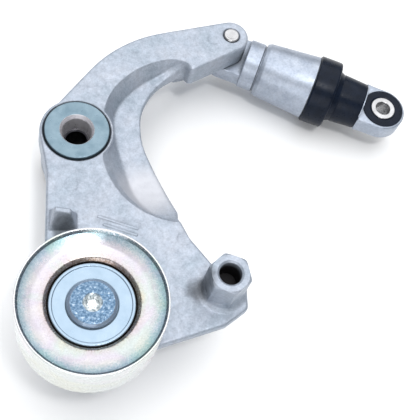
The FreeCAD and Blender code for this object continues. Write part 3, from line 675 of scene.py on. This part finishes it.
def wrench_hexagon(material):
    """Crisp hexagon over the cast one, with a nut's chamfer, worn corners and a cored hole."""
    arm_face = ARM_FRONT / MM
    corner = HEX_FLATS / math.sqrt(3) + 0.04
    flat = HEX_FLATS / 2
    mouth = HEX_HOLE + 0.8
    outline = rounded([(corner * math.cos(math.radians(HEX_TURN + 60 * k)),
                        corner * math.sin(math.radians(HEX_TURN + 60 * k)), 0.7) for k in range(6)], 4, 0.5)
    dense = []
    for here, following in zip(outline, outline[1:] + outline[:1]):
        parts = max(1, int((following - here).length / LONGEST_SIDE))
        dense += [here.lerp(following, k / parts) for k in range(parts)]

    loops = []
    for z, inset in ((arm_face + 2.6, 0.25), (arm_face + 3.0, 0.0), (HEX_TOP - 1.5, 0.0)):
        loops.append([(*(p * (1 - inset / p.length)), z) for p in dense])
    chamfer = corner - 0.35
    for limit in (chamfer, corner - 0.8, flat - 0.1, flat - 0.5):
        z = HEX_TOP - 0.75 + min((chamfer - limit) * CHAMFER_SLOPE, 0.73)
        loops.append([(*(p * min(1, limit / p.length)), z) for p in dense])
    for radius, z in ((flat - 0.9, HEX_TOP + 0.03), (mouth + 0.2, HEX_TOP + 0.02), (mouth, HEX_TOP - 0.1),
                      (HEX_HOLE, HEX_TOP - 0.8), (HEX_HOLE - 0.2, HEX_TOP - 7.0),
                      (HEX_HOLE - 0.3, HEX_TOP - 14.0)):
        loops.append([(*(p * (radius / p.length)), z) for p in dense])

    bm = bmesh.new()
    rings = [[bm.verts.new(point) for point in loop] for loop in loops]
    link_rings(bm, rings)
    for ring in (rings[0], rings[-1]):
        bm.faces.new(ring)
    finish_mesh(bm, "wrench_hexagon", upright(Vector((HEX_X * MM, HEX_Y * MM))), material, "arm",
                [], 30)


# ---------------------------------------------------------------- pivot
PIVOT_BORE_R = 5.6
PIVOT_SLEEVE_R = 12.0
PIVOT_DISC_R = 17.05


def pivot(material):
    """Sleeve with its disc in front, a counterbore that narrows to a step, and the bolt's bore."""
    front = top("pivot_sleeve") / MM
    disc_back = front - 3.5
    step = front - 12.0
    profile = [(PIVOT_BORE_R, 0, 0.35), (PIVOT_SLEEVE_R, 0, 0.5), (PIVOT_SLEEVE_R, disc_back, 0.2),
               (PIVOT_DISC_R, disc_back, 0.4), (PIVOT_DISC_R, front - 0.15, 0.5), (16.2, front, 0.6),
               (9.1, front, 0.5), (7.9, front - 2.6, 2.0), (7.2, step, 0.6), (PIVOT_BORE_R, step, 0.45)]
    finish_mesh(lathe(profile, 160), "pivot_disc", upright(centre("pivot_sleeve")), material, "pivot",
                ["pivot_sleeve"])


# ---------------------------------------------------------------- pulley
WALL_R = 35.0
WALL_INSIDE_R = 33.0
SEAT_R = 20.0
CAP_INSIDE_R = 5.1
CAP_R = 19.9
SHANK_R = 5.0
BOLT_HEAD_R = 11.5
BOLT_FACE = 2.9                                      # the head's height over its seat
LOBES = 6
LOBE_DEPTH = 0.09
CRINKLE_FROM = 4.4
CRINKLE_TO = 10.3


def pulley(material):
    """Spun shell: belt wall, rolled rim, dished web and the seat round the bearing."""
    back = bottom("pulley_shell") / MM
    front = top("pulley_shell") / MM
    race_back = bottom("bearing_outer_race") / MM
    race_front = top("bearing_outer_race") / MM
    profile = [
        (WALL_R, back, 0.8), (WALL_R, front, 0.9), (34.2, front, 0.3), (33.2, front - 1.3, 0.6),
        (31.0, front - 2.1, 2.0), (27.0, front - 3.6, 9.0), (22.0, front - 4.3, 1.8),
        (20.6, front - 5.9, 1.0), (SEAT_R, race_front - 0.6, 0.4), (SEAT_R, race_back, 0.2),
        (19.1, race_back, 0.3), (19.1, race_back - 1.6, 0.5), (21.2, race_back - 1.6, 1.2),
        (22.0, race_back + 0.6, 0.8), (22.0, front - 8.6, 1.6), (27.4, front - 6.0, 5.0),
        (31.6, front - 3.8, 1.4), (WALL_INSIDE_R, front - 4.6, 0.8), (WALL_INSIDE_R, back, 0.6),
    ]
    bm = lathe(profile, 192, 6, 0.2)
    finish_mesh(bm, "pulley_shell_spun", upright(PULLEY), material, "pulley",
                ["pulley_shell"])


def dust_cap(material):
    """Pressed cap with a raised rim, and the neck that the bolt clamps against the inner race."""
    seat = top("bearing_inner_race") / MM
    profile = [(CAP_INSIDE_R, seat - 7.0, 0.2), (8.5, seat - 7.0, 0.4), (8.5, seat, 0.1),
               (11.8, seat, 0.2), (11.8, seat + 0.7, 0.2), (18.3, seat + 0.7, 0.2), (18.3, seat + 0.3, 0.15),
               (CAP_R, seat + 0.3, 0.35), (CAP_R, seat + 2.35, 0.75), (18.4, seat + 2.35, 0.45),
               (18.1, seat + 1.85, 0.3), (12.4, seat + 1.85, 0.25), (11.7, seat + 1.55, 0.2),
               (CAP_INSIDE_R, seat + 1.55, 0.2)]
    bm = lathe(profile, 160)
    finish_mesh(bm, "bearing_dust_cap", upright(PULLEY), material, "arm", ["dust_cap"])


def pulley_bolt(material):
    """Low flanged head with a crinkled face round a small six-lobed socket."""
    head = top("pulley_bolt") / MM
    seat = head - BOLT_FACE
    low = bottom("pulley_bolt") / MM
    face = [(10.1 - 0.35 * k, head - 0.3 + 0.1 * math.sin(math.pi * k / 16)) for k in range(17)]
    profile = [(0, low), (SHANK_R, low, 0.8), (SHANK_R, seat, 0.2), (BOLT_HEAD_R, seat, 0.35),
               (BOLT_HEAD_R, seat + 1.2, 0.4), (10.7, head - 0.75, 0.4)] + face
    profile += [(4.1, head - 0.8, 0.3), (3.6, head - 2.6, 0.3), (2.2, head - 3.3, 0.4), (0, head - 3.5)]
    bm = lathe(profile, 224)
    for vertex in bm.verts:
        p = vertex.co
        radius = p.xy.length
        if 1.0 < radius < 4.6 and p.z > head - 3.8:
            fade = min(1.0, (4.8 - radius) / 0.6)
            p.xy *= 1 + LOBE_DEPTH * fade * math.cos(LOBES * math.atan2(p.y, p.x))
        if CRINKLE_FROM < radius < CRINKLE_TO and p.z > head - 0.7:
            fade = min(1.0, (radius - CRINKLE_FROM) / 0.6, (CRINKLE_TO - radius) / 0.6)
            p.z -= 0.30 * fade * abs(noise.noise(p * 0.75)) + 0.10 * fade * abs(noise.noise(p * 1.9))
    finish_mesh(bm, "pulley_bolt_head", upright(PULLEY), material, "arm", ["pulley_bolt"], 60)


# ---------------------------------------------------------------- damper
TONGUE_HALF = 4.9
TONGUE_R = 13.4
TONGUE_BORE_R = 6.1
TONGUE_END = 13.2                                    # from here to NECK_END: stations on the damper's axis
HOUSING_STEP = 12.2
HOUSING_END = 54.4
RIM_END = 66.0
COLLAR_END = 68.0
NECK_START = 71.5
NECK_END = 86.3
SHOULDER_R = 14.5
BARREL_R = 18.9                                      # at its wide end
RIM_R = 18.0
COLLAR_R = 20.1
EYE_HALF = 5.6
EYE_R = 13.5
EYE_BORE_R = 10.2
PIN_R = 4.5
PIN_HEAD_R = 6.4
SPRING_START = 26.8
SPRING_LENGTH = 44.6
SPRING_MEAN_R = 10.3
SPRING_WIRE_R = 1.2
SPRING_TURNS = 7
DRILL_REACH = 40.0


def pin(material):
    """Pin with a round head behind the rear ear and a peened end in the front one."""
    back = bottom("damper_pin") / MM
    ear_back = back + 2.0
    front = top("damper_pin") / MM
    profile = [(0, back), (5.2, back, 0.9), (PIN_HEAD_R, back + 1.2, 0.5), (PIN_HEAD_R, ear_back, 0.2),
               (PIN_R, ear_back, 0.1), (PIN_R, front - 0.7, 0.2), (4.0, front - 0.15, 0.25),
               (3.1, front, 0.6), (2.6, front - 0.12, 0.3), (0, front - 0.1)]
    finish_mesh(lathe(profile, 96), "damper_pin_peened", upright(PIN), material, "arm",
                ["damper_pin"])


def loose(bm, name):
    """Object in metres from a mesh in millimetres, to be cut or to cut with."""
    bm.transform(Matrix.Scale(MM, 4))
    bmesh.ops.recalc_face_normals(bm, faces=bm.faces)
    mesh = bpy.data.meshes.new(name)
    bm.to_mesh(mesh)
    bm.free()
    return add_object(name, mesh)


def bored(bm, hole, name, material, body, nodes):
    solid = loose(bm, name)
    x, radius = hole
    drill_bm = lathe([(0, -DRILL_REACH), (radius, -DRILL_REACH), (radius, DRILL_REACH),
                      (0, DRILL_REACH)], 128)
    drill_bm.transform(Matrix.Translation((x, 0, 0)))
    drill = loose(drill_bm, "drill")
    result = applied(solid, [("BOOLEAN", {"operation": "DIFFERENCE", "solver": "EXACT", "object": drill})])
    for leftover in (drill, solid):
        bpy.data.objects.remove(leftover)
    result.materials.clear()
    result.transform(flat_on_damper())
    declare(result, name, material, body, nodes)


def housing(material):
    """Barrel that flares from the neck to the collar, and the tongue that sits in the fork."""
    profile = [(0, HOUSING_STEP), (SHOULDER_R, HOUSING_STEP, 0.8), (SHOULDER_R, 21.0, 0.4),
               (13.8, 21.4, 0.15), (13.8, 22.1, 0.15), (15.2, 22.2, 0.6), (16.3, 24.3, 1.8),
               (BARREL_R, HOUSING_END, 0.5), (RIM_R, HOUSING_END, 0.1), (RIM_R, RIM_END, 0.5),
               (15.8, RIM_END, 0.4), (15.8, 58.2, 0.5), (12.5, 56.0, 0.5), (12.5, 26.5, 1.0),
               (8.0, 26.5, 0.2), (8.0, 23.8), (0, 23.8)]
    finish_mesh(lathe(profile, 176), "damper_barrel", on_damper(), material, "damper_cylinder",
                ["damper_housing"])
    outline = arc(0, 0, TONGUE_R, 90, 270, 72)
    outline += [(x, -TONGUE_R) for x in (4, 8, TONGUE_END)] + [(x, TONGUE_R) for x in (TONGUE_END, 8, 4)]
    bored(slab(outline, -TONGUE_HALF, TONGUE_HALF, 0.6), (0, TONGUE_BORE_R), "damper_tongue", material,
          "damper_cylinder", [])


def boot(material):
    """One rubber piece: collar over the rim, a web that rolls in, and the neck round the rod."""
    on_rim = RIM_R + 0.05
    profile = [(on_rim, HOUSING_END + 0.3, 0.3), (COLLAR_R, HOUSING_END + 0.3, 0.9),
               (COLLAR_R, COLLAR_END, 1.6), (17.0, COLLAR_END, 0.8), (16.3, COLLAR_END - 1.0, 0.5),
               (14.2, NECK_START - 0.1, 0.6), (14.4, NECK_START + 0.6, 0.4), (13.5, NECK_END, 0.8),
               (12.4, NECK_END, 0.2), (12.4, NECK_START, 0.4), (13.2, NECK_START - 0.9, 0.3),
               (15.6, COLLAR_END - 1.9, 0.4), (16.2, RIM_END + 0.1, 0.1), (on_rim, RIM_END + 0.1, 0.1)]
    bm = lathe(profile, 176)
    piece = finish_mesh(bm, "rubber_boot", on_damper(), material, None, [], 60)
    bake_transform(piece)
    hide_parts("boot_collar", "boot_fold", "boot_neck")


def rod_eye(material):
    """Flat eye that starts past the boot's neck, and the round plug that joins it to the rod."""
    root = NECK_END + 0.1
    outline = arc(EYE_STATION, 0, EYE_R, -90, 90, 96)
    outline += [(x, EYE_R) for x in (EYE_STATION - 4, EYE_STATION - 8, root)]
    outline += [(x, -EYE_R) for x in (root, EYE_STATION - 8, EYE_STATION - 4)]
    bored(slab(outline, -EYE_HALF, EYE_HALF, 0.9, 5), (EYE_STATION, EYE_BORE_R), "strut_eye", material,
          "damper_rod", ["rod_eye"])
    plug = lathe([(0, 73.0), (12.35, 73.0, 0.4), (12.35, NECK_END - 0.3, 0.1), (12.9, NECK_END - 0.2, 0.1),
                  (12.9, NECK_END + 0.6, 0.1), (0, NECK_END + 0.6)], 128)
    finish_mesh(plug, "strut_eye_plug", on_damper(), material, "damper_rod", [])


def eye_bush(material):
    """Rubber bush whose lips lie over both faces of the eye."""
    half = EYE_HALF
    lip = half + 0.6
    profile = [(7.35, -half - 0.2, 0.1), (8.2, -lip, 0.3), (12.2, -lip, 0.5), (12.2, -half, 0.1),
               (EYE_BORE_R, -half, 0.1), (EYE_BORE_R, half, 0.1), (12.2, half, 0.1), (12.2, lip, 0.5),
               (8.2, lip, 0.3), (7.35, half + 0.2, 0.1)]
    finish_mesh(lathe(profile, 128), "eye_rubber", Matrix.Translation(EYE), material, "damper_rod",
                ["eye_bush"], 50)


def eye_sleeve(material):
    """Steel sleeve that the engine's bolt goes through."""
    half = (top("eye_sleeve") - bottom("eye_sleeve")) / MM / 2
    profile = [(4.2, -half, 0.4), (7.3, -half, 0.5), (7.3, half, 0.5), (4.2, half, 0.6)]
    finish_mesh(lathe(profile, 128), "eye_steel_sleeve", Matrix.Translation(EYE), material, "eye",
                ["eye_sleeve"])


def return_spring(material):
    """Coil inside the barrel, drawn at one length."""
    bm = helix(SPRING_START, SPRING_LENGTH, SPRING_MEAN_R, SPRING_WIRE_R, SPRING_TURNS)
    piece = finish_mesh(bm, "return_coil", on_damper(), material, "damper_cylinder",
                        ["return_spring"], 60)
    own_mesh(piece)


# ---------------------------------------------------------------- put it together
SKIN = die_cast()
PIVOT_ZINC = pivot_zinc()
CAP_ZINC = cap_zinc()
BOLT_ZINC = bolt_zinc()
SHELL = pulley_zinc()
RUBBER = black_rubber("boot_rubber_black")
SEAL = black_rubber("seal_rubber_black", 0.5)
SEAL_CASE = steel("seal_case_steel", 0.16, 0.24, 0.30, 0.45, (0.85, 0.95, 1.1))
BARREL = turned_aluminium()
BRIGHT = steel("bright_steel", 0.34, 0.46, 0.22, 0.36)
HARD = steel("hardened_steel", 0.36, 0.5)
BEARING = steel("bearing_steel", 0.52, 0.66, 0.12, 0.24)
SPRING = steel("spring_steel", 0.16, 0.26, 0.3, 0.45, (1.0, 1.0, 1.06))
POLYMER = polymer()
BRASS = brass()

arm_body(SKIN)
arm_ridges(SKIN)
wrench_hexagon(SKIN)
pivot(PIVOT_ZINC)
pulley(SHELL)
dust_cap(CAP_ZINC)
pulley_bolt(BOLT_ZINC)
pin(BRIGHT)
housing(BARREL)
boot(RUBBER)
rod_eye(BARREL)
eye_bush(RUBBER)
eye_sleeve(BRIGHT)
return_spring(SPRING)

CARRIED_OVER = {
    "rear_thrust_ring": HARD, "front_pivot_bush": POLYMER, "rear_pivot_bush": POLYMER,
    "front_dust_seal": SEAL_CASE, "rear_dust_seal": SEAL, "bearing_outer_race": BEARING,
    "bearing_inner_race": BEARING, "bearing_balls": BEARING, "bearing_cage": BRASS,
    "front_bearing_seal": SEAL, "rear_bearing_seal": SEAL, "bearing_spacer": HARD,
    "tongue_bush": POLYMER, "pressure_sleeve": HARD, "valve_seat": HARD, "valve_ball": BEARING,
    "valve_spring": SPRING, "valve_retainer": HARD, "rod_guide": POLYMER, "piston_rod": BRIGHT,
    "spring_seat": HARD,
}
for node_name, finish in CARRIED_OVER.items():
    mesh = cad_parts[node_name].data
    mesh.materials.clear()
    mesh.materials.append(finish)


# ---------------------------------------------------------------- floor, light and camera
FLOOR_HALF = 3.0
LIGHTS_AIM = Vector((0.07, -0.02, 0.03))             # about the middle of the object, in metres
CAMERA_PLACE = Vector((-0.02047, -0.23473, 0.4450))
CAMERA_LOOKS = Vector((0.19379, 0.41450, -0.88918)).normalized()
CAMERA_UP = Vector((0.0, 0.90635, 0.42251))
FOCAL_LENGTH = 74.9
SENSOR = 36


def floor():
    """Pale floor just under the object."""
    m = Shader("pale_floor", roughness=0.6)
    m.colour(m.ramp(m.noise(60.0, 3.0), [(0.3, 0.93), (0.7, 0.95)]))
    level = CAD_BOX[0][2] - 0.02 * MM
    corners = [(x * FLOOR_HALF, y * FLOOR_HALF, level) for x, y in ((-1, -1), (1, -1), (1, 1), (-1, 1))]
    mesh = bpy.data.meshes.new("floor")
    mesh.from_pydata(corners, [], [(0, 1, 2, 3)])
    mesh.materials.append(m.material)
    add_object("floor", mesh)


def softbox(name, direction, distance, size, power):
    """Square area light that looks at the object."""
    lamp = bpy.data.lights.new(name, "AREA")
    lamp.shape = "SQUARE"
    lamp.size = size
    lamp.energy = power
    holder = add_object(name, lamp)
    holder.location = LIGHTS_AIM + Vector(direction).normalized() * distance
    holder.rotation_euler = (LIGHTS_AIM - holder.location).to_track_quat("-Z", "Y").to_euler()


def studio():
    """Soft cool surroundings, a wide light above, a small one in front and a fill from below."""
    world = bpy.data.worlds.new("studio")
    world.use_nodes = True
    background = world.node_tree.nodes["Background"]
    background.inputs["Color"].default_value = (0.93, 0.96, 1.0, 1)
    background.inputs["Strength"].default_value = 0.42
    bpy.context.scene.world = world
    softbox("overhead", (0.02, 0.40, 0.92), 1.3, 2.1, 25)
    softbox("front", (0.08, -0.25, 0.96), 1.2, 0.15, 3.0)
    softbox("fill", (-0.25, -0.90, 0.40), 1.5, 1.0, 8)
    bpy.context.scene.view_settings.view_transform = "Standard"


def camera():
    """At the viewing angle of the reference: steep, from below left, with a slight roll."""
    right = CAMERA_LOOKS.cross(CAMERA_UP).normalized()
    turn = Matrix((right, right.cross(CAMERA_LOOKS), -CAMERA_LOOKS)).transposed().to_4x4()
    lens = bpy.data.cameras.new("camera")
    lens.lens = FOCAL_LENGTH
    lens.sensor_width = SENSOR
    lens.clip_start = 0.01
    holder = add_object("camera", lens)
    holder.matrix_world = Matrix.Translation(CAMERA_PLACE) @ turn
    bpy.context.scene.camera = holder


floor()
studio()
camera()
